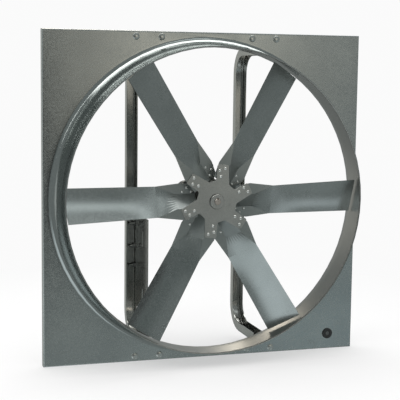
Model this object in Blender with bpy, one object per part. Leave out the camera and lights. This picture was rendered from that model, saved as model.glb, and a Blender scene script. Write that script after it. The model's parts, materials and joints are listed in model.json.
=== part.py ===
"""Belt-drive wall fan with a square venturi panel, a six-blade riveted propeller and a two-strut drive frame.

Metres, +Z up. The fan blows along -Y: the throat and the propeller face -Y, the drive frame stands behind
the panel on the +Y side. The shaft axis is the Y axis and the origin is the centre of the overall box.
Inside the fan, depths are measured from the front face of the panel, which the empty fan_frame carries.
"""
import math

import bmesh
import bpy
from mathutils import Matrix, Vector

# Driving dimensions
PROPELLER_DIAMETER = 0.915
TIP_CLEARANCE = 0.0055
PANEL_SIZE = 1.022
PANEL_SHEET = 0.0015
GAP = 0.0003

# Venturi panel
THROAT_RADIUS = PROPELLER_DIAMETER / 2 + TIP_CLEARANCE
THROAT_DEPTH = 0.136
FLARE_REACH = 0.033
FLARE_DEPTH = 0.075
LIP_RADIUS = 0.0025
LIP_FLAT = 0.0012
FLANGE_DEPTH = 0.025
FLANGE_BEND = 0.0035
ROUND_STEPS = 72

# Drive frame
STRUT_X = 0.186
STRUT_WIDTH = 0.037
STRUT_HEIGHT = 0.0305
STRUT_SHEET = 0.0025
STRUT_CORNER = 0.006
STRUT_REAR = 0.2445
STRUT_REACH = 0.475
STRUT_BEND = 0.090
STRUT_INNER_X = STRUT_X - STRUT_WIDTH / 2
FOOT_WIDTH = 0.106
FOOT_SHEET = 0.003
FOOT_TOP = 0.507
FOOT_LEG = 0.032
FOOT_BOLT_Z = 0.494
FOOT_BOLT_SPREAD = 0.040

# Fasteners
CARRIAGE_SHANK = 0.0047
CARRIAGE_HEAD = 0.0107
CARRIAGE_DOME = 0.0022
HEX_SHANK = 0.0039
HEX_CORNER = 0.0073
NUT_CORNER = 0.0083
HOLE_GAP = 0.0005

# Bearing shelf, bearings and shaft
SHAFT_RADIUS = 0.009525
SHAFT_FRONT = -0.1245
SHAFT_REAR = 0.290
BEARING_RISE = 0.0333
BEARING_FOOT_TOP = -0.0200
BEARING_DEPTHS = (0.105, 0.222)
BEARING_BOLT_X = 0.0475
SHELF_SHEET = 0.004
SHELF_FRONT = 0.076
SHELF_END_RISE = 0.042
SHELF_BOLT_Y = 0.229
SHELF_BOLT_Z = (-0.0240, -0.0050)

# Motor plate on the left strut
MOTOR_PLATE_SHEET = 0.003
MOTOR_PLATE_FRONT = 0.077
MOTOR_PLATE_TOP = -0.077
MOTOR_PLATE_BOTTOM = -0.385
MOTOR_BOLT_Z = (-0.109, -0.1835, -0.248)
MOTOR_BOLT_TAIL = 0.014
MOTOR_SLOT_Y = 0.143
MOTOR_SLOTS_Z = ((-0.174, -0.122), (-0.364, -0.312))
MOTOR_SLOT_WIDTH = 0.009
SLIDE_TRAVEL = 0.020

# Propeller
BLADES = 6
BLADE_SHEET = 0.0018
SPIDER_SHEET = 0.0032
SPIDER_FRONT = -0.1145
EAR_SPACING = 0.034
BLADE_KINK = (0.184, 0.045)
BLADE_ELBOW = (0.122, 0.0205)
BLADE_ROOT = (0.060, 0.0225)
BLADE_TIP_FRONT_T = 0.058
BLADE_TIP_REAR_T = -0.044
BLADE_TIP_SPLAY = 0.005
BLADE_CAMBER = 0.006
FOLD_ANGLE = 12
EAR_OUTER = (0.107, 0.054)
EAR_INNER = (0.060, 0.046)
SPIDER_ARM = ((0.051, -0.038), (0.110, -0.037), (0.113, -0.001), (0.065, 0.003))
SPIDER_CORNER = 0.005
SPIDER_ARM_TURN = 30.0
HUB_NECK = 0.0225
HUB_BODY = 0.032
HUB_FRONT = -0.121
HUB_REAR = -0.050
SPIDER_HOLE = HUB_NECK + 0.0008
KEY_WIDTH = 0.0042
KEYWAY_WIDTH = 0.0048
SET_SCREW_RADIUS = 0.0036

# Wiring entry in the panel
ENTRY_X = 0.425
ENTRY_Z = -0.460
ENTRY_RADIUS = 0.0140
GROMMET_RADIUS = 0.0172
PLUG_RADIUS = 0.0068

PANEL_BACK = PANEL_SHEET
FRAME_START = PANEL_BACK + GAP
PANEL_Y = (THROAT_DEPTH - SHAFT_REAR) / 2


# ---------------------------------------------------------------- helpers

def clear_scene():
    """Remove every object and mesh that the file starts with."""
    for item in list(bpy.data.objects):
        bpy.data.objects.remove(item, do_unlink=True)


def principled(name, colour, roughness, metallic):
    """Return a plain Principled material."""
    material = bpy.data.materials.new(name)
    material.use_nodes = True
    shader = material.node_tree.nodes["Principled BSDF"]
    shader.inputs["Base Color"].default_value = (*colour, 1.0)
    shader.inputs["Roughness"].default_value = roughness
    shader.inputs["Metallic"].default_value = metallic
    return material


def empty(name, location, parent=None):
    """Add an empty that carries a group of parts."""
    item = bpy.data.objects.new(name, None)
    item.location = location
    item.parent = parent
    bpy.context.collection.objects.link(item)
    return item


def place(name, mesh, material, parent, location=(0, 0, 0), turn=(0, 0, 0), smooth=True, sharp=35):
    """Add one named part; turn and sharp are in degrees, turn about X, Y and Z."""
    item = bpy.data.objects.new(name, mesh)
    item.data.materials.clear()
    item.data.materials.append(material)
    item.parent = parent
    item.location = location
    item.rotation_euler = [math.radians(angle) for angle in turn]
    bpy.context.collection.objects.link(item)
    if smooth:
        mesh.shade_smooth()
        mesh.set_sharp_from_angle(angle=math.radians(sharp))
    return item


def mesh_from_loops(name, loops, ring=False):
    """Skin a list of equal vertex loops; a ring joins last to first, otherwise both ends are capped."""
    bm = bmesh.new()
    rows = [[bm.verts.new(point) for point in loop] for loop in loops]
    count = len(rows[0])
    pairs = list(zip(rows, rows[1:]))
    if ring:
        pairs.append((rows[-1], rows[0]))
    for lower, upper in pairs:
        for i in range(count):
            j = (i + 1) % count
            bm.faces.new((lower[i], lower[j], upper[j], upper[i]))
    if not ring:
        bm.faces.new(rows[0])
        bm.faces.new(rows[-1])
    bmesh.ops.recalc_face_normals(bm, faces=bm.faces)
    mesh = bpy.data.meshes.new(name)
    bm.to_mesh(mesh)
    bm.free()
    return mesh


def circle(radius, depth, steps):
    """Points of a circle about the Y axis."""
    angles = [2 * math.pi * i / steps for i in range(steps)]
    return [(radius * math.cos(a), depth, radius * math.sin(a)) for a in angles]


def square(half, depth, steps):
    """Points of a square about the Y axis, at the same angles as a circle's."""
    points = []
    for x, y, z in circle(1.0, depth, steps):
        scale = half / max(abs(x), abs(z))
        points.append((x * scale, y, z * scale))
    return points


def hexagon(corner, depth, steps):
    """Points of a hexagon about the Y axis; steps is a multiple of 6."""
    points = []
    for i in range(steps):
        angle = 2 * math.pi * i / steps
        offset = (angle % (math.pi / 3)) - math.pi / 6
        radius = corner * math.cos(math.pi / 6) / math.cos(offset)
        points.append((radius * math.cos(angle), depth, radius * math.sin(angle)))
    return points


def turned_ring(name, profile, steps):
    """Turn a closed (radius, depth) profile about the Y axis."""
    return mesh_from_loops(name, [circle(r, y, steps) for r, y in profile], ring=True)


def turned_bar(name, profile, steps):
    """Turn an open (radius, depth) profile about the Y axis and close both ends flat."""
    return mesh_from_loops(name, [circle(r, y, steps) for r, y in profile])


def prism(name, outline, depth_from, depth_to):
    """Extrude an (x, z) outline along Y."""
    loops = [[(x, y, z) for x, z in outline] for y in (depth_from, depth_to)]
    return mesh_from_loops(name, loops)


def box_mesh(name, low, high):
    """A box between two corners."""
    outline = [(low[0], low[2]), (high[0], low[2]), (high[0], high[2]), (low[0], high[2])]
    return prism(name, outline, low[1], high[1])


def rounded_slot(length, width, steps=6):
    """Outline (x, z) of a slot along Z, centred on the origin."""
    reach = length / 2 - width / 2
    points = []
    for centre, start in ((reach, 0.0), (-reach, math.pi)):
        for i in range(steps + 1):
            angle = start + math.pi * i / steps
            points.append((width / 2 * math.cos(angle), centre + width / 2 * math.sin(angle)))
    return points


def joined(name, meshes):
    """One mesh from several meshes that do not touch."""
    bm = bmesh.new()
    for mesh, matrix in meshes:
        piece = mesh.copy()
        piece.transform(matrix)
        bm.from_mesh(piece)
        bpy.data.meshes.remove(piece)
    result = bpy.data.meshes.new(name)
    bm.to_mesh(result)
    bm.free()
    return result


def cut(target, mesh):
    """Cut a mesh, given in the target's own space, out of the target."""
    cutter = bpy.data.objects.new(target.name + "_cutter", mesh)
    cutter.parent = target
    cutter.hide_render = True
    cutter.display_type = "WIRE"
    bpy.context.collection.objects.link(cutter)
    modifier = target.modifiers.new("cut", "BOOLEAN")
    modifier.operation = "DIFFERENCE"
    modifier.solver = "EXACT"
    modifier.object = cutter


def pins(name, radius, half_length, centres, axis="Y", steps=16):
    """Round cutters through the given centres along one axis."""
    turns = {"X": Matrix.Rotation(math.pi / 2, 4, "Z"), "Y": Matrix.Identity(4),
             "Z": Matrix.Rotation(math.pi / 2, 4, "X")}
    pin = turned_bar(name, [(radius, -half_length), (radius, half_length)], steps)
    return joined(name, [(pin, Matrix.Translation(Vector(centre)) @ turns[axis]) for centre in centres])


# ---------------------------------------------------------------- fasteners

def hex_bolt_mesh(grip, with_nut, tail=0.0028):
    """Hex-head bolt along Y: the head sits before depth 0, the shank crosses the grip."""
    head = 0.0053
    nut = 0.0066
    steps = 12
    loops = [hexagon(HEX_CORNER, -head, steps), hexagon(HEX_CORNER, 0, steps), circle(HEX_SHANK, 0, steps)]
    if with_nut:
        loops += [circle(HEX_SHANK, grip, steps), hexagon(HEX_CORNER, grip, steps)]
        loops += [hexagon(HEX_CORNER, grip + nut, steps), circle(HEX_SHANK, grip + nut, steps)]
    loops.append(circle(HEX_SHANK, grip + nut + tail, steps))
    return mesh_from_loops("hex_bolt", loops)


def nut_mesh(corner, hole, height):
    """Hex nut along Y from depth 0."""
    steps = 12
    loops = [hexagon(corner, 0, steps), hexagon(corner, height, steps)]
    loops += [circle(hole, height, steps), circle(hole, 0, steps)]
    return mesh_from_loops("nut", loops, ring=True)


def carriage_bolt_mesh(length):
    """Round-head bolt along Y: the dome stands before depth 0."""
    dome_steps = 4
    profile = []
    for i in range(dome_steps + 1):
        angle = math.radians(15 + 75 * i / dome_steps)
        profile.append((CARRIAGE_HEAD * math.sin(angle), -CARRIAGE_DOME * math.cos(angle)))
    profile += [(CARRIAGE_SHANK, 0.0), (CARRIAGE_SHANK, length)]
    return turned_bar("carriage_bolt", profile, 16)


# ---------------------------------------------------------------- venturi panel

def panel_wall():
    """Middle line of the pressed sheet from the throat's lip to the flange's edge.

    Each entry is (outline, distance from the axis, depth, and the normal's two parts).
    """
    half_sheet = PANEL_SHEET / 2
    throat = THROAT_RADIUS + half_sheet
    lip_y = -THROAT_DEPTH + half_sheet
    wall = [(circle, throat + LIP_RADIUS + LIP_FLAT, lip_y, 0, -1)]
    for degrees in (270, 225, 180):
        a = math.radians(degrees)
        wall.append((circle, throat + LIP_RADIUS * (1 + math.cos(a)),
                     lip_y + LIP_RADIUS * (1 + math.sin(a)), math.cos(a), math.sin(a)))
    flare_steps = 9
    for i in range(flare_steps + 1):
        a = math.radians(180 - 90 * i / flare_steps)
        across, along = math.cos(a) / FLARE_REACH, math.sin(a) / FLARE_DEPTH
        length = math.hypot(across, along)
        wall.append((circle, throat + FLARE_REACH * (1 + math.cos(a)),
                     half_sheet - FLARE_DEPTH * (1 - math.sin(a)), across / length, along / length))
    side = PANEL_SIZE / 2 - half_sheet
    for degrees in (270, 315, 360):
        a = math.radians(degrees)
        wall.append((square, side - FLANGE_BEND * (1 - math.cos(a)),
                     half_sheet + FLANGE_BEND * (1 + math.sin(a)), -math.cos(a), -math.sin(a)))
    wall.append((square, side, FLANGE_DEPTH, -1, 0))
    return wall


def venturi_panel(material, parent):
    """Square panel with the drawn throat, the bent-back flange, the bolt holes and the wiring entry."""
    loops = []
    for side, wall in ((0.5, panel_wall()), (-0.5, panel_wall()[::-1])):
        shift = side * PANEL_SHEET
        for outline, distance, depth, across, along in wall:
            loops.append(outline(distance + shift * across, depth + shift * along, ROUND_STEPS))
    panel = place("venturi_panel", mesh_from_loops("venturi_panel", loops, ring=True), material, parent)
    reach = 0.02
    cut(panel, joined("panel_holes", [
        (pins("bolts", CARRIAGE_SHANK + HOLE_GAP, reach, foot_bolt_places()), Matrix.Identity(4)),
        (pins("entry", ENTRY_RADIUS + GAP, reach, [(ENTRY_X, 0, ENTRY_Z)], steps=32), Matrix.Identity(4))]))


def foot_bolt_places():
    """Centres of the eight bolts that hold the struts to the panel."""
    return [(side * STRUT_X + step * FOOT_BOLT_SPREAD, 0, end * FOOT_BOLT_Z)
            for end in (1, -1) for side in (-1, 1) for step in (-1, 1)]


def wiring_entry(rubber, steel, parent):
    """Rubber grommet in the wiring hole, closed by a steel plug."""
    flange = 0.0035
    front = -flange
    back = PANEL_BACK + flange
    bore = PLUG_RADIUS + GAP
    profile = [(bore, front), (GROMMET_RADIUS - 0.0015, front), (GROMMET_RADIUS, front + 0.0015),
               (GROMMET_RADIUS, -GAP), (ENTRY_RADIUS, -GAP), (ENTRY_RADIUS, PANEL_BACK + GAP),
               (GROMMET_RADIUS, PANEL_BACK + GAP), (GROMMET_RADIUS, back), (bore, back)]
    place("wiring_grommet", turned_ring("wiring_grommet", profile, 32), rubber, parent, (ENTRY_X, 0, ENTRY_Z))
    plug = [(PLUG_RADIUS - 0.001, front + 0.001), (PLUG_RADIUS, front + 0.002), (PLUG_RADIUS, back)]
    place("knockout_plug", turned_bar("knockout_plug", plug, 24), steel, parent, (ENTRY_X, 0, ENTRY_Z))


# ---------------------------------------------------------------- drive frame

def strut_section():
    """Channel section as (across, inwards) points, with the web on the line inwards = 0."""
    half = STRUT_WIDTH / 2
    points = []
    inner = STRUT_CORNER - STRUT_SHEET
    for radius, order in ((STRUT_CORNER, 1), (inner, -1)):
        arc = []
        for side in (1, -1):
            for i in range(4):
                a = math.radians(30 * i if side > 0 else 90 - 30 * i)
                across = half - STRUT_CORNER + radius * math.cos(a)
                arc.append((side * across, STRUT_CORNER - radius * math.sin(a)))
        edge = half if order > 0 else half - STRUT_SHEET
        run = [(edge, STRUT_HEIGHT)] + arc + [(-edge, STRUT_HEIGHT)]
        points += run[::order]
    return points


def strut_path():
    """Points (depth, height) of the web's outer line with their inward normals, from top foot to bottom foot."""
    bend_steps = 8
    low = STRUT_REACH - STRUT_BEND
    deep = STRUT_REAR - STRUT_BEND
    path = [((FRAME_START, STRUT_REACH), (0.0, -1.0))]
    for end in (1, -1):
        for i in range(bend_steps + 1):
            step = i if end > 0 else bend_steps - i
            a = math.pi / 2 * (1 - step / bend_steps)
            centre = Vector((deep, end * low))
            outward = Vector((math.cos(a), end * math.sin(a)))
            path.append((tuple(centre + STRUT_BEND * outward), tuple(-outward)))
    path.append(((FRAME_START, -STRUT_REACH), (0.0, 1.0)))
    return path


def strut(name, side, material, parent):
    """One channel strut: a long C bent forward at both ends, open towards the panel."""
    loops = []
    for (depth, height), (inward_y, inward_z) in strut_path():
        loops.append([(across, depth + rise * inward_y, height + rise * inward_z)
                      for across, rise in strut_section()])
    item = place(name, mesh_from_loops(name, loops), material, parent, (side * STRUT_X, 0, 0))
    flange = -side * (STRUT_WIDTH / 2 - STRUT_SHEET / 2)
    holes = [(pins("shelf_holes", HEX_SHANK + HOLE_GAP, STRUT_SHEET * 2,
                   [(flange, SHELF_BOLT_Y, z) for z in SHELF_BOLT_Z], axis="X", steps=12), Matrix.Identity(4))]
    if side < 0:
        slot = rounded_slot(2 * (SLIDE_TRAVEL + HEX_SHANK + HOLE_GAP), 2 * (HEX_SHANK + HOLE_GAP))
        slot_mesh = prism("slot", slot, -STRUT_SHEET * 2, STRUT_SHEET * 2)
        quarter = Matrix.Rotation(math.pi / 2, 4, "Z")
        holes += [(slot_mesh, Matrix.Translation((flange, SHELF_BOLT_Y, z)) @ quarter) for z in MOTOR_BOLT_Z]
    cut(item, joined(name + "_holes", holes))


def foot(name, side, end, material, parent):
    """Angle foot across one end of a strut: one leg on the panel, one leg on the strut's web."""
    web = STRUT_REACH + GAP
    corner = FRAME_START + FOOT_SHEET
    section = [(FRAME_START, web), (FOOT_LEG, web), (FOOT_LEG, web + FOOT_SHEET),
               (corner, web + FOOT_SHEET), (corner, FOOT_TOP), (FRAME_START, FOOT_TOP)]
    loops = [[(x, y, z) for y, z in section] for x in (-FOOT_WIDTH / 2, FOOT_WIDTH / 2)]
    turn = (0, 0 if end > 0 else 180, 0)
    item = place(name, mesh_from_loops(name, loops), material, parent, (side * STRUT_X, 0, 0), turn)
    centres = [(step * FOOT_BOLT_SPREAD, FRAME_START, FOOT_BOLT_Z) for step in (-1, 1)]
    cut(item, pins(name + "_holes", CARRIAGE_SHANK + HOLE_GAP, 0.01, centres, steps=12))


def foot_fasteners(material, parent):
    """Carriage bolts through the panel and the feet, each with its nut."""
    seat = FRAME_START + FOOT_SHEET + GAP
    nut_height = 0.0083
    bolt = carriage_bolt_mesh(seat + nut_height + 0.004)
    nut = nut_mesh(NUT_CORNER, CARRIAGE_SHANK + HOLE_GAP, nut_height)
    for number, (x, _, z) in enumerate(foot_bolt_places(), start=1):
        place(f"panel_bolt_{number}", bolt, material, parent, (x, -GAP, z))
        place(f"panel_nut_{number}", nut, material, parent, (x, seat, z), smooth=False)


def bearing_shelf(material, parent):
    """Plate between the struts that carries both bearings; its upturned ends bolt to the struts."""
    top = -BEARING_RISE - GAP
    half = STRUT_INNER_X - GAP
    bottom = top - SHELF_SHEET
    rim = bottom + SHELF_END_RISE
    inner = half - SHELF_SHEET
    outline = [(-half, rim), (-half, bottom), (half, bottom), (half, rim),
               (inner, rim), (inner, top), (-inner, top), (-inner, rim)]
    shelf = place("bearing_shelf", prism("bearing_shelf", outline, SHELF_FRONT, STRUT_REAR), material, parent,
                  smooth=False)
    ends = [(side * half, SHELF_BOLT_Y, z) for side in (-1, 1) for z in SHELF_BOLT_Z]
    feet = [(side * BEARING_BOLT_X, y, top) for side in (-1, 1) for y in BEARING_DEPTHS]
    cut(shelf, joined("shelf_holes", [
        (pins("end_holes", HEX_SHANK + HOLE_GAP, 0.008, ends, axis="X", steps=12), Matrix.Identity(4)),
        (pins("foot_holes", HEX_SHANK + HOLE_GAP, 0.008, feet, axis="Z", steps=12), Matrix.Identity(4))]))
    side_bolts(material, parent)


def side_bolts(material, parent):
    """Bolts through the shelf's ends and the struts, with their nuts joined on."""
    head_x = STRUT_INNER_X - SHELF_SHEET - 2 * GAP
    grip = SHELF_SHEET + STRUT_SHEET + 3 * GAP
    bolt = hex_bolt_mesh(grip, with_nut=True)
    number = 0
    for side in (-1, 1):
        for z in SHELF_BOLT_Z:
            number += 1
            place(f"shelf_bolt_{number}", bolt, material, parent, (side * head_x, SHELF_BOLT_Y, z),
                  (0, 0, -90 * side), smooth=False)


# ---------------------------------------------------------------- motor plate

def motor_plate(material, bolt_material, parent):
    """Slotted plate on the left strut's inner flange, with the three bolts that clamp it."""
    left = -STRUT_INNER_X + GAP
    plate = place("motor_plate", box_mesh("motor_plate", (0, MOTOR_PLATE_FRONT, MOTOR_PLATE_BOTTOM),
                                          (MOTOR_PLATE_SHEET, STRUT_REAR, MOTOR_PLATE_TOP)),
                  material, parent, (left, 0, 0), smooth=False)
    quarter = Matrix.Rotation(math.pi / 2, 4, "Z")
    holes = [(pins("plate_holes", HEX_SHANK + GAP, 0.01, [(0, SHELF_BOLT_Y, z) for z in MOTOR_BOLT_Z],
                   axis="X", steps=12), Matrix.Identity(4))]
    for low, high in MOTOR_SLOTS_Z:
        slot = prism("slot", rounded_slot(high - low, MOTOR_SLOT_WIDTH), -0.01, 0.01)
        holes.append((slot, Matrix.Translation((0, MOTOR_SLOT_Y, (low + high) / 2)) @ quarter))
    cut(plate, joined("motor_plate_holes", holes))
    seat = left + MOTOR_PLATE_SHEET + GAP
    grip = MOTOR_PLATE_SHEET + STRUT_SHEET + 3 * GAP
    bolt = hex_bolt_mesh(grip, with_nut=False, tail=MOTOR_BOLT_TAIL)
    nut = nut_mesh(HEX_CORNER, HEX_SHANK + GAP, 0.0066)
    for number, z in enumerate(MOTOR_BOLT_Z, start=1):
        place(f"motor_plate_bolt_{number}", bolt, bolt_material, parent, (seat, SHELF_BOLT_Y, z),
              (0, 0, 90), smooth=False)
        place(f"motor_plate_nut_{number}", nut, bolt_material, parent, (seat - grip, SHELF_BOLT_Y, z),
              (0, 0, 90), smooth=False)


# ---------------------------------------------------------------- bearings and shaft

def bearing_housing_mesh():
    """Pillow block about the shaft axis, standing on its two feet."""
    dome = 0.031
    outline = [(-0.0635, -BEARING_RISE), (0.0635, -BEARING_RISE), (0.0635, BEARING_FOOT_TOP),
               (0.0360, BEARING_FOOT_TOP)]
    for i in range(13):
        a = math.radians(-10 + 200 * i / 12)
        outline.append((dome * math.cos(a), dome * math.sin(a)))
    outline += [(-0.0360, BEARING_FOOT_TOP), (-0.0635, BEARING_FOOT_TOP)]
    return prism("bearing_housing", outline, -0.015, 0.015)


def bearings(cast, steel, fixed, spinning):
    """Two pillow blocks with their outer races fixed and their inner rings on the shaft."""
    race_radius = 0.0235
    outer = turned_ring("outer_race", [(0.0175, -0.0085), (race_radius, -0.0085), (race_radius, 0.0085),
                                       (0.0175, 0.0085)], 32)
    bore = SHAFT_RADIUS + GAP
    inner = turned_ring("inner_ring", [(bore, -0.0130), (0.0145, -0.0130), (0.0145, -0.0085), (0.0171, -0.0085),
                                       (0.0171, 0.0095), (0.0165, 0.0095), (0.0165, 0.0195), (bore, 0.0195)], 32)
    grip = SHELF_SHEET + BEARING_RISE + BEARING_FOOT_TOP + 3 * GAP
    bolt = hex_bolt_mesh(grip, with_nut=True)
    for label, depth in zip(("front", "rear"), BEARING_DEPTHS):
        block = place(f"{label}_bearing_housing", bearing_housing_mesh(), cast, fixed, (0, depth, 0))
        feet = [(side * BEARING_BOLT_X, 0, -0.026) for side in (-1, 1)]
        cut(block, joined("housing_holes", [
            (pins("feet", HEX_SHANK + HOLE_GAP, 0.012, feet, axis="Z", steps=12), Matrix.Identity(4)),
            (pins("seat", race_radius + GAP, 0.03, [(0, 0, 0)], steps=32), Matrix.Identity(4))]))
        place(f"{label}_bearing_outer_race", outer, steel, fixed, (0, depth, 0))
        place(f"{label}_bearing_inner_ring", inner, steel, spinning, (0, depth, 0))
        for side_label, side in (("left", -1), ("right", 1)):
            under = -BEARING_RISE - 2 * GAP - SHELF_SHEET
            place(f"{label}_bearing_bolt_{side_label}", bolt, steel, fixed,
                  (side * BEARING_BOLT_X, depth, under), (90, 0, 0), smooth=False)


def shaft_and_key(steel, parent):
    """Ground shaft with a keyway at each end, and the key that drives the hub."""
    chamfer = 0.0008
    profile = [(SHAFT_RADIUS - chamfer, SHAFT_FRONT), (SHAFT_RADIUS, SHAFT_FRONT + chamfer),
               (SHAFT_RADIUS, SHAFT_REAR - chamfer), (SHAFT_RADIUS - chamfer, SHAFT_REAR)]
    shaft = place("shaft", turned_bar("shaft", profile, 32), steel, parent)
    half = KEYWAY_WIDTH / 2
    floor = 0.0071
    front = box_mesh("front_keyway", (-half, SHAFT_FRONT - 0.01, floor), (half, HUB_REAR - 0.008, 0.012))
    rear = box_mesh("rear_keyway", (-half, 0.252, floor), (half, SHAFT_REAR + 0.01, 0.012))
    cut(shaft, joined("keyways", [(front, Matrix.Identity(4)), (rear, Matrix.Identity(4))]))
    key_low = (-KEY_WIDTH / 2, -0.1150, floor + GAP)
    key_high = (KEY_WIDTH / 2, -0.0600, 0.0117)
    place("shaft_key", box_mesh("shaft_key", key_low, key_high), steel, parent, smooth=False)


# ---------------------------------------------------------------- propeller

def hub(cast, steel, parent):
    """Turned hub with a keyway, held by two set screws."""
    body_front = SPIDER_FRONT + SPIDER_SHEET + GAP
    body_rear = body_front + EAR_SPACING + BLADE_SHEET
    bore = SHAFT_RADIUS + GAP
    chamfer = 0.0012
    profile = [(bore, HUB_FRONT), (HUB_NECK - chamfer, HUB_FRONT), (HUB_NECK, HUB_FRONT + chamfer),
               (HUB_NECK, body_front), (HUB_BODY, body_front), (HUB_BODY, body_rear), (HUB_NECK, body_rear),
               (HUB_NECK, HUB_REAR - chamfer), (HUB_NECK - chamfer, HUB_REAR), (bore, HUB_REAR)]
    item = place("hub", turned_ring("hub", profile, 32), cast, parent)
    half = KEYWAY_WIDTH / 2
    keyway = box_mesh("hub_keyway", (-half, HUB_FRONT - 0.01, 0.005), (half, HUB_REAR + 0.01, 0.0120))
    screw_y = (body_rear + SPIDER_SHEET + HUB_REAR) / 2
    screw_hole = SET_SCREW_RADIUS + GAP
    over_key = pins("over_key", screw_hole, 0.010, [(0, screw_y, 0.0175)], axis="Z", steps=12)
    beside_key = pins("beside_key", screw_hole, 0.010, [(0.0175, screw_y, 0)], axis="X", steps=12)
    for cutter in (keyway, over_key, beside_key):
        cut(item, cutter)
    long_screw = turned_bar("set_screw", [(SET_SCREW_RADIUS, 0.0103), (SET_SCREW_RADIUS, 0.0215)], 12)
    short_screw = turned_bar("set_screw", [(SET_SCREW_RADIUS, 0.0121), (SET_SCREW_RADIUS, 0.0215)], 12)
    place("hub_set_screw_1", short_screw, steel, parent, (0, screw_y, 0), (90, 0, 0), smooth=False)
    place("hub_set_screw_2", long_screw, steel, parent, (0, screw_y, 0), (0, 0, -90), smooth=False)


def rounded(outline, radius, steps=2):
    """Round every corner of a closed (x, z) outline with an arc."""
    points = []
    count = len(outline)
    for i in range(count):
        corner = Vector(outline[i])
        before = (Vector(outline[i - 1]) - corner).normalized()
        after = (Vector(outline[(i + 1) % count]) - corner).normalized()
        half_angle = before.angle(after) / 2
        middle = corner + (before + after).normalized() * radius / math.sin(half_angle)
        start = corner + before * radius / math.tan(half_angle) - middle
        sweep = start.angle_signed(corner + after * radius / math.tan(half_angle) - middle)
        for j in range(steps + 1):
            arm = Matrix.Rotation(-sweep * j / steps, 2) @ start
            points.append(tuple(middle + arm))
    return points


def spider_outline():
    """Star outline (x, z): each arm is a parallel strip that leans towards one side of its blade."""
    points = []
    for k in range(BLADES):
        turn = math.radians(360 / BLADES * k + SPIDER_ARM_TURN)
        for u, v in SPIDER_ARM:
            points.append((u * math.cos(turn) - v * math.sin(turn), u * math.sin(turn) + v * math.cos(turn)))
    return rounded(points, SPIDER_CORNER)


def spider(name, depth, mirrored, material, parent):
    """Riveted star plate with a round hole for the hub's neck."""
    flip = -1 if mirrored else 1
    outer = [(x, flip * z) for x, z in spider_outline()]
    hole = [(SPIDER_HOLE * x / math.hypot(x, z), SPIDER_HOLE * z / math.hypot(x, z)) for x, z in outer]
    loops = []
    for outline, y in ((outer, 0), (outer, SPIDER_SHEET), (hole, SPIDER_SHEET), (hole, 0)):
        loops.append([(x, y, z) for x, z in outline])
    place(name, mesh_from_loops(name, loops, ring=True), material, parent, (0, depth, 0), smooth=False)


def blend(start, end, share):
    """Point between two points."""
    return tuple(a + (b - a) * share for a, b in zip(start, end))


def blade_rows(front, rear):
    """Rows of (radial, depth, tangential) points from the hub outwards, each from rear edge to front edge."""
    across = 8
    outer_rows = 8
    tip_radius = PROPELLER_DIAMETER / 2
    folds = [BLADE_ROOT, blend(BLADE_ROOT, BLADE_ELBOW, 0.5), BLADE_ELBOW, blend(BLADE_ELBOW, BLADE_KINK, 0.5)]
    rows = [[blend((x, rear, -t), (x, front, t), j / across) for j in range(across + 1)] for x, t in folds]
    for i in range(outer_rows + 1):
        share = i / outer_rows
        camber = BLADE_CAMBER * math.sin(math.pi / 2 * min(1.0, 2 * share))
        row = []
        for j in range(across + 1):
            s = j / across
            tip_t = BLADE_TIP_REAR_T + (BLADE_TIP_FRONT_T - BLADE_TIP_REAR_T) * s
            kink_t = BLADE_KINK[1] * (2 * s - 1)
            t = kink_t + (tip_t - kink_t) * share
            tip_x = math.sqrt(tip_radius ** 2 - tip_t ** 2)
            x = BLADE_KINK[0] + (tip_x - BLADE_KINK[0]) * share
            y = rear + (front - rear) * s + BLADE_TIP_SPLAY * share * (1 - 2 * s)
            row.append((x, y + camber * 4 * s * (1 - s), t))
        rows.append(row)
    return rows, len(folds)


def blade_mesh():
    """Sheet blade: an inclined cambered outer part and a Z-shaped root with a flat ear at each side."""
    front = SPIDER_FRONT + SPIDER_SHEET + GAP + BLADE_SHEET / 2
    rear = front + EAR_SPACING
    rows, kink_row = blade_rows(front, rear)
    bm = bmesh.new()
    grid = [[bm.verts.new(point) for point in row] for row in rows]
    for lower, upper in zip(grid, grid[1:]):
        for i in range(len(lower) - 1):
            bm.faces.new((lower[i], lower[i + 1], upper[i + 1], upper[i]))
    for edge, depth, side in ((-1, front, 1), (0, rear, -1)):
        fold = [grid[i][edge] for i in range(kink_row + 1)]
        corners = [bm.verts.new((x, depth, side * t)) for x, t in (EAR_OUTER, EAR_INNER)]
        bm.faces.new(fold + corners)
    bmesh.ops.recalc_face_normals(bm, faces=bm.faces)
    mesh = bpy.data.meshes.new("blade")
    bm.to_mesh(mesh)
    bm.free()
    return mesh


def blades(material, parent):
    """Six blades about the shaft."""
    mesh = blade_mesh()
    for k in range(BLADES):
        item = place(f"blade_{k + 1}", mesh, material, parent, turn=(0, -360 / BLADES * k, 0), sharp=FOLD_ANGLE)
        solidify = item.modifiers.new("sheet", "SOLIDIFY")
        solidify.thickness = BLADE_SHEET
        solidify.offset = 0.0
        solidify.use_even_offset = True


# ---------------------------------------------------------------- assembly

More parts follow.
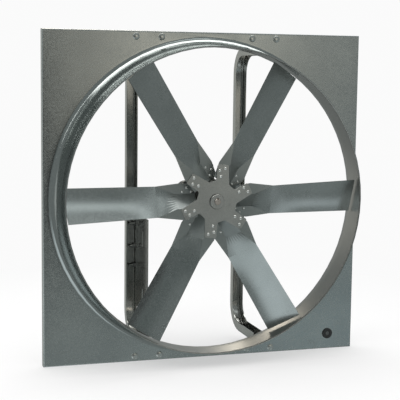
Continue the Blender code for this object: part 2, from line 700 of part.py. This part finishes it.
def build():
    """Build the whole fan."""
    clear_scene()
    galvanised = principled("galvanised_sheet", (0.36, 0.37, 0.36), 0.42, 0.9)
    frame_steel = principled("galvanised_frame", (0.30, 0.31, 0.30), 0.38, 0.9)
    blade_steel = principled("galvanised_blade", (0.33, 0.36, 0.36), 0.40, 0.9)
    spider_steel = principled("spider_steel", (0.28, 0.28, 0.27), 0.5, 0.9)
    zinc = principled("zinc_fastener", (0.62, 0.62, 0.60), 0.35, 1.0)
    ground = principled("ground_steel", (0.55, 0.50, 0.48), 0.3, 1.0)
    cast = principled("cast_iron", (0.12, 0.13, 0.13), 0.6, 0.7)
    rubber = principled("black_rubber", (0.03, 0.035, 0.035), 0.7, 0.0)

    fan_frame = empty("fan_frame", (0, PANEL_Y, 0))
    propeller_axis = empty("propeller_axis", (0, 0, 0), fan_frame)
    motor_slide = empty("motor_plate_slide", (0, 0, 0), fan_frame)

    venturi_panel(galvanised, fan_frame)
    wiring_entry(rubber, galvanised, fan_frame)
    for side_label, side in (("left", -1), ("right", 1)):
        strut(f"{side_label}_strut", side, frame_steel, fan_frame)
        for end_label, end in (("top", 1), ("bottom", -1)):
            foot(f"{side_label}_strut_{end_label}_foot", side, end, frame_steel, fan_frame)
    foot_fasteners(zinc, fan_frame)
    bearing_shelf(frame_steel, fan_frame)
    motor_plate(frame_steel, zinc, motor_slide)
    bearings(cast, zinc, fan_frame, propeller_axis)
    shaft_and_key(ground, propeller_axis)
    hub(cast, zinc, propeller_axis)
    spider("front_spider", SPIDER_FRONT, False, spider_steel, propeller_axis)
    rear_spider_y = SPIDER_FRONT + SPIDER_SHEET + 2 * GAP + EAR_SPACING + BLADE_SHEET
    spider("rear_spider", rear_spider_y, True, spider_steel, propeller_axis)
    blades(blade_steel, propeller_axis)


build()
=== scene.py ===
"""Looks of a belt-drive wall fan: galvanised steel finishes, rivets, floor, light and camera.

Metres, +Z up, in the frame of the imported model. The fan blows along -Y, towards the camera, and the shaft
axis is the Y axis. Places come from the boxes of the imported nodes, and the sizes that they can't give are
named below.
"""
import json
import math

import bmesh
import bpy
from mathutils import Matrix, Vector

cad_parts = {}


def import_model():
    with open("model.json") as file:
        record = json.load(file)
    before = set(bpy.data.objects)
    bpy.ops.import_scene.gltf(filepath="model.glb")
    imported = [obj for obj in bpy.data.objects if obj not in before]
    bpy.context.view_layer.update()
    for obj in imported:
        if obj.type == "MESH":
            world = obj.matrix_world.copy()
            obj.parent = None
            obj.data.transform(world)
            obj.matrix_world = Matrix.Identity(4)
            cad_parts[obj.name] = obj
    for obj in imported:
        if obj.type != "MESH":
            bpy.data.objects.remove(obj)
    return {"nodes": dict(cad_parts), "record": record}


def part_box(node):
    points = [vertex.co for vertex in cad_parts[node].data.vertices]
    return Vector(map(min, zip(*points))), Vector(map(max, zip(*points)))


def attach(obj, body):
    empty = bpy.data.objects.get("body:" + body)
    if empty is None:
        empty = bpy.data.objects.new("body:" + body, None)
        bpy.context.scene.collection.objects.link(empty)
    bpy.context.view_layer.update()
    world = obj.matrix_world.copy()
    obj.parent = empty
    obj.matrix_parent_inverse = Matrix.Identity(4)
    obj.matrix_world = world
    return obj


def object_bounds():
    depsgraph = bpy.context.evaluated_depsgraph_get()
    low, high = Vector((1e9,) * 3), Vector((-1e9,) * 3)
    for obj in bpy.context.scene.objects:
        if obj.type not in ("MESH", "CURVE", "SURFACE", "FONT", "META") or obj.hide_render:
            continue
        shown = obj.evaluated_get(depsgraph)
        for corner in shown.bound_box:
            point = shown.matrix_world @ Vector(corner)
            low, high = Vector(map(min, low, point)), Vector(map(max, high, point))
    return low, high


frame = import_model()
CAD_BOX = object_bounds()
NODES = frame["nodes"]
MOUNTS = {mount["name"]: mount for mount in frame["record"]["mounts"]}

# Places read from the frame
PANEL_LOW, PANEL_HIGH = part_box("venturi_panel")
PANEL_SIZE = PANEL_HIGH.x - PANEL_LOW.x
PANEL_FACE_Y = MOUNTS["panel_front"]["pos_m"][1]
FRONT_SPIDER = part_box("front_spider")
REAR_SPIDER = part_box("rear_spider")

# The flare drawn out of the panel: where it leaves the flat face, the strip over which its finish blends
# into the panel's, and the cosines between which a wall counts as facing the shaft
DRAWN_RADIUS = 0.496
DRAWN_EDGE = 0.006
DRAWN_ROUGHNESS = 0.14
WALL_FACING = (-0.35, -0.15)

# Radii between which the painted shade near the hub, darker and rougher sheet, fades out on the blades
HUB_SHADE_SPAN = (0.09, 0.22)

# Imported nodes: distance below which corners are welded, and angles in degrees above which edges are rounded,
# round parts stay sharp and blades keep their folds
WELD_DISTANCE = 0.00001
ROUNDED_ABOVE = 40
SHARP_ABOVE = 32
FOLDED_ABOVE = 8

# Rounding of edges, by how the node's name starts or ends
EDGE_ROUNDINGS = (
    ("front_spider", 0.0007),
    ("rear_spider", 0.0007),
    ("hub", 0.0010),
    ("shaft", 0.0008),
    ("bearing_housing", 0.0010),
    ("bearing_shelf", 0.0006),
    ("motor_plate", 0.0005),
    ("foot", 0.0006),
)
ROUNDING_SEGMENTS = 3

# Camera, with its direction as degrees right of -Y and degrees up
CAMERA_AZIMUTH = -17.15
CAMERA_ELEVATION = 6.68
CAMERA_ROLL = 0.69
CAMERA_DISTANCE = 3.2534 * PANEL_SIZE
CAMERA_AIM = Vector((-0.0183 * PANEL_SIZE, PANEL_FACE_Y, -0.0078 * PANEL_SIZE))
CAMERA_LENS = 95.73
SENSOR_WIDTH = 36.0
CAMERA_CLIP_END = 100.0

# Rivets, as (radius, degrees from the blade's axis) in the front spider; the rear spider is its mirror image
BLADES = 6
RIVET_PLACES = ((0.076, 21.0), (0.0943, 25.0), (0.103, 15.4))
RIVET_RADIUS = 0.0052
RIVET_HEIGHT = 0.0030
RIVET_SINK = 0.0002
RIVET_RINGS = 3
RIVET_STEPS = 12
RIVET_SHARP_ABOVE = 50

# The rivets' upset ends on the blade ears: their size against the heads, and the ear's sheet and gap
UPSET_WIDTH = 0.85
UPSET_HEIGHT = 0.8
EAR_SHEET = 0.0018
EAR_GAP = 0.0003

# Surround that the camera sees, and the floor that fades into it between two distances from the middle
BACKDROP = 0.96
FLOOR_TONE = 0.93
FLOOR_RADIUS = 16.0
FLOOR_SEGMENTS = 96
FLOOR_FADE = (0.70, 1.6)
FLOOR_LIFT = 0.5

# Soft lamps aimed at the middle of the fan, as (name, place, side, watts, tint)
LAMPS = (
    ("key", (-2.2, -2.4, 2.8), 1.6, 26, (1.0, 0.985, 0.96)),
    ("top", (0, 0.4, 3.2), 2.6, 30, (1.0, 1.0, 1.0)),
)

# Studio that the metal reflects: its plain tint, the least light anywhere in it, and its soft boxes as
# (degrees right of -Y, degrees up, half width, half height, softness in degrees, light added as red, green
# and blue); a box that adds less than nothing is a dark flag
STUDIO_TINT = (0.268, 0.294, 0.292)
STUDIO_LEAST = (0.03, 0.03, 0.03)
SOFT_BOXES = (
    # in front, from the fan's height downwards
    (16, 4, 6, 5, 5, (0.86, 0.76, 0.62)),
    (-2, -4, 12, 8, 4, (-0.255, -0.28, -0.28)),
    (8, -18, 8, 4, 4, (0.09, 0.11, 0.11)),
    (26, -15, 9, 3, 6, (0.12, 0.20, 0.24)),
    (-30, -33, 21, 15, 12, (0.66, 0.72, 0.75)),
    (34, -37, 10, 5, 6, (0.50, 0.54, 0.57)),
    (44, -58, 12, 8, 8, (0.06, 0.07, 0.07)),
    # in front and overhead
    (15, 40, 7, 4, 5, (1.25, 1.32, 1.33)),
    (14, 58, 14, 8, 10, (0.24, 0.25, 0.25)),
    (0, 84, 40, 14, 8, (2.8, 2.8, 2.75)),
    # flag beside the camera, and the narrow strip at the left that lights the flare
    (-24, 6, 9, 7, 6, (-0.12, -0.12, -0.12)),
    (-66, 46, 1, 26, 2, (4.2, 4.3, 4.2)),
    # at the sides and behind
    (-128, 0, 18, 30, 12, (0.40, 0.40, 0.39)),
    (128, 0, 18, 30, 12, (0.40, 0.40, 0.39)),
    (104, 40, 3, 34, 5, (1.5, 1.6, 1.6)),
    (174, 25, 9, 6, 5, (3.4, 3.1, 2.6)),
    (-160, -2, 14, 12, 10, (0.22, 0.21, 0.19)),
    (150, 35, 20, 14, 10, (0.7, 0.7, 0.7)),
)


# ---------------------------------------------------------------- node helpers

class Nodes:
    """A node tree with short calls for the nodes used here; its textures follow one texture coordinate."""

    def __init__(self, tree, coordinate):
        self.tree = tree
        self.position = self.node("ShaderNodeTexCoord").outputs[coordinate]

    def node(self, kind, **settings):
        """Add a node and set its properties."""
        item = self.tree.nodes.new(kind)
        for key, value in settings.items():
            setattr(item, key, value)
        return item

    def feed(self, socket, value):
        """Link an output or set a plain value."""
        if isinstance(value, bpy.types.NodeSocket):
            self.tree.links.new(value, socket)
        else:
            socket.default_value = value

    def noise(self, scale, detail=4.0, roughness=0.55, position=None):
        """Noise value between 0 and 1."""
        item = self.node("ShaderNodeTexNoise")
        self.feed(item.inputs["Vector"], position or self.position)
        item.inputs["Scale"].default_value = scale
        item.inputs["Detail"].default_value = detail
        item.inputs["Roughness"].default_value = roughness
        return item.outputs["Fac"]

    def cells(self, size, position):
        """Voronoi node with cells of about the given size."""
        item = self.node("ShaderNodeTexVoronoi")
        self.feed(item.inputs["Vector"], position)
        item.inputs["Scale"].default_value = 1.0 / size
        return item

    def math(self, operation, first, second=0.0, clamp=False):
        """Arithmetic on two values."""
        item = self.node("ShaderNodeMath", operation=operation, use_clamp=clamp)
        self.feed(item.inputs[0], first)
        self.feed(item.inputs[1], second)
        return item.outputs[0]

    def vector(self, operation, first, second=None):
        """Vector math node on one or two vectors."""
        item = self.node("ShaderNodeVectorMath", operation=operation)
        self.feed(item.inputs[0], first)
        if second is not None:
            self.feed(item.inputs[1], second)
        return item

    def dot(self, first, second):
        """Dot product."""
        return self.vector("DOT_PRODUCT", first, second).outputs["Value"]

    def length(self, vector):
        """Length of a vector."""
        return self.vector("LENGTH", vector).outputs["Value"]

    def channel(self, tone, index):
        """Red, green or blue of a colour."""
        item = self.node("ShaderNodeSeparateColor")
        self.feed(item.inputs[0], tone)
        return item.outputs[index]

    def remap(self, value, low, high, new_low, new_high):
        """Map a range onto another, clamped."""
        item = self.node("ShaderNodeMapRange")
        for socket, number in zip(item.inputs, (value, low, high, new_low, new_high)):
            self.feed(socket, number)
        return item.outputs[0]

    def blend(self, share, first, second):
        """Blend two colours."""
        item = self.node("ShaderNodeMix", data_type="RGBA")
        self.feed(item.inputs[0], share)
        self.feed(item.inputs[6], first)
        self.feed(item.inputs[7], second)
        return item.outputs[2]

    def stretched(self, scale):
        """Position scaled by a different number along each axis."""
        item = self.node("ShaderNodeMapping")
        self.feed(item.inputs["Vector"], self.position)
        item.inputs["Scale"].default_value = scale
        return item.outputs["Vector"]

    def warped(self, scale, amount):
        """Position pushed about by noise, which makes cell edges ragged."""
        noise = self.node("ShaderNodeTexNoise")
        self.feed(noise.inputs["Vector"], self.position)
        noise.inputs["Scale"].default_value = scale
        offset = self.vector("MULTIPLY", noise.outputs["Color"], (amount, amount, amount))
        return self.vector("ADD", self.position, offset.outputs[0]).outputs[0]

    def from_axis(self):
        """Vector from the Y axis to the point."""
        return self.stretched((1.0, 0.0, 1.0))

    def radial_facing(self):
        """Cosine between the surface's normal and the direction away from the Y axis."""
        away = self.vector("NORMALIZE", self.from_axis()).outputs[0]
        return self.dot(away, self.node("ShaderNodeTexCoord").outputs["Normal"])

    def bump(self, height, distance, strength, under=None):
        """Bump normal from a height, on top of another bump."""
        item = self.node("ShaderNodeBump")
        self.feed(item.inputs["Strength"], strength)
        item.inputs["Distance"].default_value = distance
        self.feed(item.inputs["Height"], height)
        if under is not None:
            self.feed(item.inputs["Normal"], under)
        return item.outputs["Normal"]

    def by_ray(self, seen, reflected):
        """Shader that differs between glossy rays, which get the reflected one, and all others."""
        item = self.node("ShaderNodeMixShader")
        self.feed(item.inputs[0], self.node("ShaderNodeLightPath").outputs["Is Glossy Ray"])
        self.feed(item.inputs[1], seen)
        self.feed(item.inputs[2], reflected)
        return item.outputs[0]


class Shader(Nodes):
    """A material's nodes; textures follow the object's own coordinates."""

    def __init__(self, name):
        self.material = bpy.data.materials.new(name)
        self.material.use_nodes = True
        super().__init__(self.material.node_tree, "Object")
        self.principled = self.tree.nodes["Principled BSDF"]

    def finish(self, colour, roughness, metallic, normal=None):
        """Wire the finish into the Principled shader."""
        self.feed(self.principled.inputs["Base Color"], colour)
        self.feed(self.principled.inputs["Roughness"], roughness)
        self.principled.inputs["Metallic"].default_value = metallic
        if normal is not None:
            self.feed(self.principled.inputs["Normal"], normal)
        return self.material


def colour(red, green, blue):
    """A colour with full alpha."""
    return (red, green, blue, 1.0)


def scaled(tone, factor):
    """The same colour, lighter or darker."""
    return colour(*(channel * factor for channel in tone[:3]))


# ---------------------------------------------------------------- finishes

# Painted reflection: the dull brown-grey given to the throat's walls that face the shaft
WALL_REFLECTION_TINT = colour(0.36, 0.355, 0.335)


def zinc_grain(s, spangle):
    """Ragged zinc crystals of two sizes: distance from the larger ones' middles, and their mixed shine."""
    ragged = s.warped(2.2 / spangle, spangle * 0.55)
    crystals = s.cells(spangle, ragged)
    fine = s.cells(spangle * 0.3, ragged)
    shine = s.math("ADD", s.math("MULTIPLY", s.channel(crystals.outputs["Color"], 0), 0.6),
                   s.math("MULTIPLY", s.channel(fine.outputs["Color"], 1), 0.4))
    return crystals.outputs["Distance"], shine


def shade_near_hub(s, span, tone, rough, dull):
    """Painted shade near the hub: darker, rougher sheet that fades out over a span of radii."""
    film = s.remap(s.length(s.from_axis()), span[0], span[1], 1.0, 0.0)
    # Painted shade: the blades darker towards the hub
    tone = s.blend(s.math("MULTIPLY", film, 0.6), tone, scaled(dull, 0.7))
    rough = s.math("ADD", rough, s.math("MULTIPLY", film, 0.16), clamp=True)
    return tone, rough


def flared(s, radius, tone, rough, dull):
    """Glossier flare and inner wall within a radius, with painted shade that darkens the flare and a painted
    brown-grey reflection on the inner wall; also the share of relief that pressing leaves.
    """
    pressed = s.remap(s.length(s.from_axis()), radius - DRAWN_EDGE, radius + DRAWN_EDGE, 1.0, 0.0)
    inside = s.math("MULTIPLY", pressed, s.remap(s.radial_facing(), *WALL_FACING, 1.0, 0.0))
    outside = s.math("SUBTRACT", pressed, inside)
    # Painted shade: the flare a little darker than the flat panel
    tone = s.blend(s.math("MULTIPLY", outside, 0.4), tone, scaled(dull, 0.85))
    # Painted reflection: brown-grey on the walls that face the shaft
    tone = s.blend(inside, tone, WALL_REFLECTION_TINT)
    rough = s.math("ADD", s.math("MULTIPLY", rough, s.math("SUBTRACT", 1.0, outside)),
                   s.math("MULTIPLY", outside, DRAWN_ROUGHNESS))
    rough = s.math("ADD", rough, s.math("MULTIPLY", inside, 0.08), clamp=True)
    relief = s.math("SUBTRACT", 1.0, s.math("MULTIPLY", outside, 0.9))
    return tone, rough, relief


def galvanised(name, dull, bright, spangle, roughness, stain=0.5, drawn=None, hub_shade_span=None):
    """Hot-dip galvanised sheet: zinc crystals of differing shine, clouds, faint scratches and stains.

    A drawn radius turns the sheet inside it glossier, with painted shade that darkens the flare and a painted
    brown-grey reflection on the walls that face the shaft. A span of radii near the hub is where painted
    shade, darker and rougher sheet, fades out.
    """
    s = Shader(name)
    distance, shine = zinc_grain(s, spangle)
    cloud = s.noise(4.0, detail=6.0)
    shade = s.math("ADD", s.math("MULTIPLY", shine, 0.28), s.math("MULTIPLY", cloud, 0.72))
    tone = s.blend(s.remap(shade, 0.3, 0.7, 0.0, 1.0), dull, bright)
    stains = s.remap(s.noise(11.0, detail=8.0, roughness=0.65), 0.58, 0.76, 0.0, stain)
    tone = s.blend(stains, tone, scaled(dull, 0.6))
    scratches = s.noise(3.0, detail=8.0, roughness=0.75, position=s.stretched((9.0, 9.0, 170.0)))
    tone = s.blend(s.remap(scratches, 0.62, 0.70, 0.0, 0.25), tone, scaled(bright, 1.25))
    rough = s.remap(shine, 0.1, 0.9, roughness - 0.04, roughness + 0.04)
    rough = s.math("ADD", rough, s.math("MULTIPLY", stains, 0.15), clamp=True)
    relief = 1.0
    if hub_shade_span:
        tone, rough = shade_near_hub(s, hub_shade_span, tone, rough, dull)
    if drawn:
        tone, rough, relief = flared(s, drawn, tone, rough, dull)
    facets = s.bump(distance, spangle * 0.003, s.math("MULTIPLY", relief, 0.15))
    waves = s.bump(s.noise(3.5, detail=1.0), 0.0015, s.math("MULTIPLY", relief, 0.5), under=facets)
    return s.finish(tone, rough, 1.0, waves)


def cast_iron(name):
    """As-cast iron with a sandy skin and traces of oil."""
    s = Shader(name)
    sand = s.noise(900.0, detail=6.0, roughness=0.7)
    blotch = s.noise(40.0, detail=5.0)
    tone = s.blend(blotch, colour(0.07, 0.075, 0.075), colour(0.15, 0.155, 0.15))
    rough = s.remap(blotch, 0.3, 0.7, 0.42, 0.68)
    return s.finish(tone, rough, 0.85, s.bump(sand, 0.0006, 0.6))


def plated(name, dull, bright, roughness):
    """Zinc-plated small part: bright with cloudy patches and fine scuffs."""
    s = Shader(name)
    cloud = s.noise(130.0, detail=5.0)
    scuff = s.noise(60.0, detail=8.0, roughness=0.8, position=s.stretched((1.0, 14.0, 3.0)))
    tone = s.blend(cloud, dull, bright)
    tone = s.blend(s.remap(scuff, 0.55, 0.75, 0.0, 0.5), tone, scaled(dull, 0.6))
    rough = s.remap(scuff, 0.3, 0.7, roughness - 0.06, roughness + 0.12)
    return s.finish(tone, rough, 1.0, s.bump(scuff, 0.0002, 0.5))


def ground_steel(name):
    """Ground bar: fine rings round the axis and a thin brown film."""
    s = Shader(name)
    rings = s.noise(6.0, detail=8.0, roughness=0.8, position=s.stretched((2.0, 320.0, 2.0)))
    film = s.noise(55.0, detail=5.0)
    tone = s.blend(film, colour(0.46, 0.40, 0.36), colour(0.60, 0.55, 0.51))
    rough = s.remap(rings, 0.3, 0.7, 0.22, 0.36)
    return s.finish(tone, rough, 1.0, s.bump(rings, 0.0001, 0.6))


def rubber(name):
    """Black moulded rubber with a bloom of dust."""
    s = Shader(name)
    dust = s.noise(260.0, detail=6.0, roughness=0.7)
    bloom = s.remap(dust, 0.45, 0.75, 0.0, 1.0)
    tone = s.blend(bloom, colour(0.012, 0.014, 0.014), colour(0.045, 0.048, 0.047))
    rough = s.remap(dust, 0.3, 0.7, 0.55, 0.8)
    return s.finish(tone, rough, 0.0, s.bump(dust, 0.0003, 0.4))


# Finish of each material slot of the record
FINISHES = {
    "galvanised_sheet": galvanised("panel_finish", colour(0.37, 0.395, 0.39), colour(0.50, 0.525, 0.51),
                                   spangle=0.0045, roughness=0.24, stain=0.25, drawn=DRAWN_RADIUS),
    "galvanised_frame": galvanised("frame_finish", colour(0.36, 0.365, 0.345), colour(0.50, 0.50, 0.48),
                                   spangle=0.0035, roughness=0.19, stain=0.3),
    "galvanised_blade": galvanised("blade_finish", colour(0.325, 0.35, 0.342), colour(0.43, 0.455, 0.447),
                                   spangle=0.0035, roughness=0.23, stain=0.3, hub_shade_span=HUB_SHADE_SPAN),
    "galvanised_plug": galvanised("plug_finish", colour(0.15, 0.15, 0.15), colour(0.24, 0.24, 0.235),
                                  spangle=0.002, roughness=0.38),
    "spider_steel": galvanised("spider_finish", colour(0.34, 0.345, 0.33), colour(0.52, 0.52, 0.495),
                               spangle=0.002, roughness=0.32, stain=1.0),
    "zinc_fastener": plated("fastener_finish", colour(0.72, 0.72, 0.69), colour(0.92, 0.92, 0.88), 0.24),
    "bearing_steel": plated("bearing_finish", colour(0.42, 0.42, 0.42), colour(0.62, 0.62, 0.62), 0.22),
    "cast_iron": cast_iron("cast_iron_finish"),
    "ground_steel": ground_steel("shaft_finish"),
    "black_rubber": rubber("rubber_finish"),
}

# Finishes of nodes that differ from the rest of their slot
PANEL_BOLT_FINISH = galvanised("panel_bolt_finish", colour(0.46, 0.48, 0.465), colour(0.60, 0.61, 0.58),
                               spangle=0.002, roughness=0.22)
FRAME_BOLT_FINISH = plated("frame_bolt_finish", colour(0.22, 0.23, 0.22), colour(0.36, 0.37, 0.36), 0.36)
HUB_FINISH = plated("hub_finish", colour(0.36, 0.36, 0.345), colour(0.52, 0.52, 0.50), 0.30)


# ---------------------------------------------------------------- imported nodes

def smoothing_group(name, degrees):
    """Geometry nodes that smooth all edges below an angle."""
    group = bpy.data.node_groups.new(name, "GeometryNodeTree")
    group.interface.new_socket("Geometry", in_out="INPUT", socket_type="NodeSocketGeometry")
    group.interface.new_socket("Geometry", in_out="OUTPUT", socket_type="NodeSocketGeometry")
    start = group.nodes.new("NodeGroupInput")
    end = group.nodes.new("NodeGroupOutput")
    faces = group.nodes.new("GeometryNodeSetShadeSmooth")
    angle = group.nodes.new("GeometryNodeInputMeshEdgeAngle")
    steep = group.nodes.new("FunctionNodeCompare")
    steep.inputs["B"].default_value = math.radians(degrees)
    edges = group.nodes.new("GeometryNodeSetShadeSmooth")
    edges.domain = "EDGE"
    edges.inputs["Shade Smooth"].default_value = False
    link = group.links.new
    link(start.outputs[0], faces.inputs["Geometry"])
    link(faces.outputs[0], edges.inputs["Geometry"])
    link(angle.outputs["Unsigned Angle"], steep.inputs["A"])
    link(steep.outputs[0], edges.inputs["Selection"])
    link(edges.outputs[0], end.inputs[0])
    return group


def finish_of(name, slot):
    """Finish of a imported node."""
    if name.startswith("panel_bolt"):
        return PANEL_BOLT_FINISH
    if name.startswith(("motor_plate_", "shelf_bolt")):
        return FRAME_BOLT_FINISH
    if name == "hub":
        return HUB_FINISH
    return FINISHES[slot]


def rounding_of(name):
    """Width of the rounding on a node's edges, or none for sheet edges that stay as cut."""
    for label, width in EDGE_ROUNDINGS:
        if name.startswith(label) or name.endswith(label):
            return width
    return 0.0


def dress_nodes():
    """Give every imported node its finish, round its edges and smooth its round faces."""
    slots = {part["node"]: part["material_slot"] for part in frame["record"]["subparts"]}
    round_parts = smoothing_group("smooth", SHARP_ABOVE)
    folded_parts = smoothing_group("keep_folds", FOLDED_ABOVE)
    for name, item in NODES.items():
        finish = finish_of(name, slots[name])
        for index in range(len(item.data.materials)):
            item.data.materials[index] = finish
        normals = item.data.attributes.get("custom_normal")
        if normals is not None:
            item.data.attributes.remove(normals)
        item.modifiers.new("weld", "WELD").merge_threshold = WELD_DISTANCE
        width = rounding_of(name)
        if width:
            bevel = item.modifiers.new("rounding", "BEVEL")
            bevel.width = width
            bevel.segments = ROUNDING_SEGMENTS
            bevel.limit_method = "ANGLE"
            bevel.angle_limit = math.radians(ROUNDED_ABOVE)
        folded = name.startswith("blade")
        smooth = item.modifiers.new("smooth", "NODES")
        smooth.node_group = folded_parts if folded else round_parts
        if not folded:
            item.modifiers.new("flat_faces", "WEIGHTED_NORMAL").keep_sharp = True


# ---------------------------------------------------------------- rivets

def ring_of(bm, centre, radius):
    """Ring of corners round a centre, in the plane across Y."""
    angles = [2 * math.pi * step / RIVET_STEPS for step in range(RIVET_STEPS)]
    return [bm.verts.new((centre[0] + radius * math.cos(angle),
                          centre[1],
                          centre[2] + radius * math.sin(angle)))
            for angle in angles]


def dome(bm, centre, radius, height, outwards):
    """Add a low closed dome that stands on the plane across Y at its centre."""
    x, y, z = centre
    loops = []
    for ring in range(RIVET_RINGS + 1):
        angle = math.pi / 2 * ring / (RIVET_RINGS + 1)
        middle = (x, y + outwards * height * math.sin(angle), z)
        loops.append(ring_of(bm, middle, radius * math.cos(angle)))
    top = bm.verts.new((x, y + outwards * height, z))
    for low, high in zip(loops, loops[1:]):
        for i in range(RIVET_STEPS):
            after = (i + 1) % RIVET_STEPS
            bm.faces.new((low[i], low[after], high[after], high[i]))
    for i in range(RIVET_STEPS):
        bm.faces.new((loops[-1][i], loops[-1][(i + 1) % RIVET_STEPS], top))
    bm.faces.new(loops[0])


def add_piece(name, bm, slot, body):
    """Turn a bmesh into a piece that rides on a body."""
    bmesh.ops.recalc_face_normals(bm, faces=bm.faces)
    mesh = bpy.data.meshes.new(name)
    bm.to_mesh(mesh)
    bm.free()
    mesh.materials.append(FINISHES[slot])
    mesh.shade_smooth()
    mesh.set_sharp_from_angle(angle=math.radians(RIVET_SHARP_ABOVE))
    item = bpy.data.objects.new(name, mesh)
    bpy.context.scene.collection.objects.link(item)
    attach(item, body)


def rivet_places(mirror):
    """(x, z) of the rivets of one spider."""
    places = []
    for blade in range(BLADES):
        for radius, degrees in RIVET_PLACES:
            angle = math.radians(360 / BLADES * blade + mirror * degrees)
            places.append((radius * math.cos(angle), radius * math.sin(angle)))
    return places


def rivets():
    """Heads on the outer faces of both spiders and upset ends on the blade ears behind them."""
    spiders = (
        ("front_rivets", FRONT_SPIDER[0].y, FRONT_SPIDER[1].y, 1, -1),
        ("rear_rivets", REAR_SPIDER[1].y, REAR_SPIDER[0].y, -1, 1),
    )
    for name, outer_y, inner_y, mirror, outwards in spiders:
        head_y = outer_y - outwards * RIVET_SINK
        upset_y = inner_y - outwards * (EAR_SHEET + EAR_GAP) + outwards * RIVET_SINK
        heads = bmesh.new()
        for x, z in rivet_places(mirror):
            dome(heads, (x, head_y, z), RIVET_RADIUS, RIVET_HEIGHT, outwards)
            dome(heads, (x, upset_y, z), RIVET_RADIUS * UPSET_WIDTH, RIVET_HEIGHT * UPSET_HEIGHT, -outwards)
        add_piece(name, heads, "zinc_fastener", "propeller")


# ---------------------------------------------------------------- floor, light and camera

def direction(azimuth, elevation):
    """Unit vector for degrees right of -Y and degrees up."""
    turn, lift = math.radians(azimuth), math.radians(elevation)
    return Vector((math.sin(turn) * math.cos(lift), -math.cos(turn) * math.cos(lift), math.sin(lift)))


def soft_box(s, azimuth, elevation, half_width, half_height, softness, light):
    """Light that one soft box adds in the direction looked in, which is the world nodes' position."""
    ahead = direction(azimuth, elevation)
    across = direction(azimuth + 90, 0)
    forward = s.dot(s.position, ahead)
    mask = s.math("GREATER_THAN", forward, 0.0)
    for axis, half in ((across, half_width), (ahead.cross(across), half_height)):
        offset = s.math("DIVIDE", s.dot(s.position, axis), forward)
        inner = math.tan(math.radians(max(half - softness / 2, 0)))
        outer = math.tan(math.radians(half + softness / 2))
        edge = s.remap(s.math("ABSOLUTE", offset), inner, outer, 1.0, 0.0)
        edge.node.interpolation_type = "SMOOTHSTEP"
        mask = s.math("MULTIPLY", mask, edge)
    added = s.vector("SCALE", light)
    s.feed(added.inputs["Scale"], mask)
    return added.outputs[0]


def world():
    """Pale surround for the camera and for soft light; the metal reflects a studio of soft boxes."""
    item = bpy.data.worlds.new("studio")
    bpy.context.scene.world = item
    item.use_nodes = True
    item.node_tree.nodes.clear()
    s = Nodes(item.node_tree, "Generated")
    total = STUDIO_TINT
    for box in SOFT_BOXES:
        total = s.vector("ADD", total, soft_box(s, *box)).outputs[0]
    studio = s.node("ShaderNodeBackground")
    s.feed(studio.inputs["Color"], s.vector("MAXIMUM", total, STUDIO_LEAST).outputs[0])
    pale = s.node("ShaderNodeBackground")
    s.feed(pale.inputs["Color"], colour(BACKDROP, BACKDROP, BACKDROP))
    surround = s.by_ray(pale.outputs[0], studio.outputs[0])
    s.feed(s.node("ShaderNodeOutputWorld").inputs[0], surround)


def floor_finish():
    """Pale matt floor that glows like the backdrop further out and lets glossy rays through."""
    s = Shader("floor_finish")
    s.finish(colour(FLOOR_TONE, FLOOR_TONE, FLOOR_TONE), 0.9, 0.0)
    s.principled.inputs["Specular IOR Level"].default_value = 0.0
    glow = s.node("ShaderNodeEmission")
    s.feed(glow.inputs["Color"], colour(BACKDROP, BACKDROP, BACKDROP))
    fade = s.node("ShaderNodeMixShader")
    s.feed(fade.inputs[0], s.remap(s.length(s.position), *FLOOR_FADE, FLOOR_LIFT, 1.0))
    s.feed(fade.inputs[1], s.principled.outputs[0])
    s.feed(fade.inputs[2], glow.outputs[0])
    surface = s.by_ray(fade.outputs[0], s.node("ShaderNodeBsdfTransparent").outputs[0])
    s.feed(s.tree.nodes["Material Output"].inputs["Surface"], surface)
    return s.material


def floor():
    """Round floor under the fan that fades into the surround."""
    bm = bmesh.new()
    bmesh.ops.create_circle(bm, cap_ends=True, radius=FLOOR_RADIUS, segments=FLOOR_SEGMENTS)
    mesh = bpy.data.meshes.new("floor")
    bm.to_mesh(mesh)
    bm.free()
    mesh.materials.append(floor_finish())
    item = bpy.data.objects.new("floor", mesh)
    item.location = (0, 0, CAD_BOX[0].z)
    bpy.context.scene.collection.objects.link(item)


def lamp(name, place, side, power, tint):
    """Square area lamp aimed at the origin, seen by neither the camera nor the metal."""
    data = bpy.data.lights.new(name, "AREA")
    data.shape = "RECTANGLE"
    data.size = side
    data.size_y = side
    data.energy = power
    data.color = tint
    item = bpy.data.objects.new(name, data)
    item.location = place
    item.rotation_euler = (-Vector(place)).to_track_quat("-Z", "Y").to_euler()
    item.visible_camera = False
    item.visible_glossy = False
    bpy.context.scene.collection.objects.link(item)


def camera():
    """Camera at the front left, a little above the shaft."""
    back = direction(CAMERA_AZIMUTH, CAMERA_ELEVATION)
    data = bpy.data.cameras.new("camera")
    data.lens = CAMERA_LENS
    data.sensor_width = SENSOR_WIDTH
    data.clip_end = CAMERA_CLIP_END
    item = bpy.data.objects.new("camera", data)
    roll = Matrix.Rotation(math.radians(CAMERA_ROLL), 3, "Z")
    turn = (-back).to_track_quat("-Z", "Y").to_matrix() @ roll
    item.matrix_world = Matrix.Translation(CAMERA_AIM + back * CAMERA_DISTANCE) @ turn.to_4x4()
    bpy.context.scene.collection.objects.link(item)
    bpy.context.scene.camera = item


def main():
    """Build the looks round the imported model."""
    bpy.context.scene.view_settings.view_transform = "Standard"
    world()
    floor()
    for settings in LAMPS:
        lamp(*settings)
    camera()
    dress_nodes()
    rivets()


main()
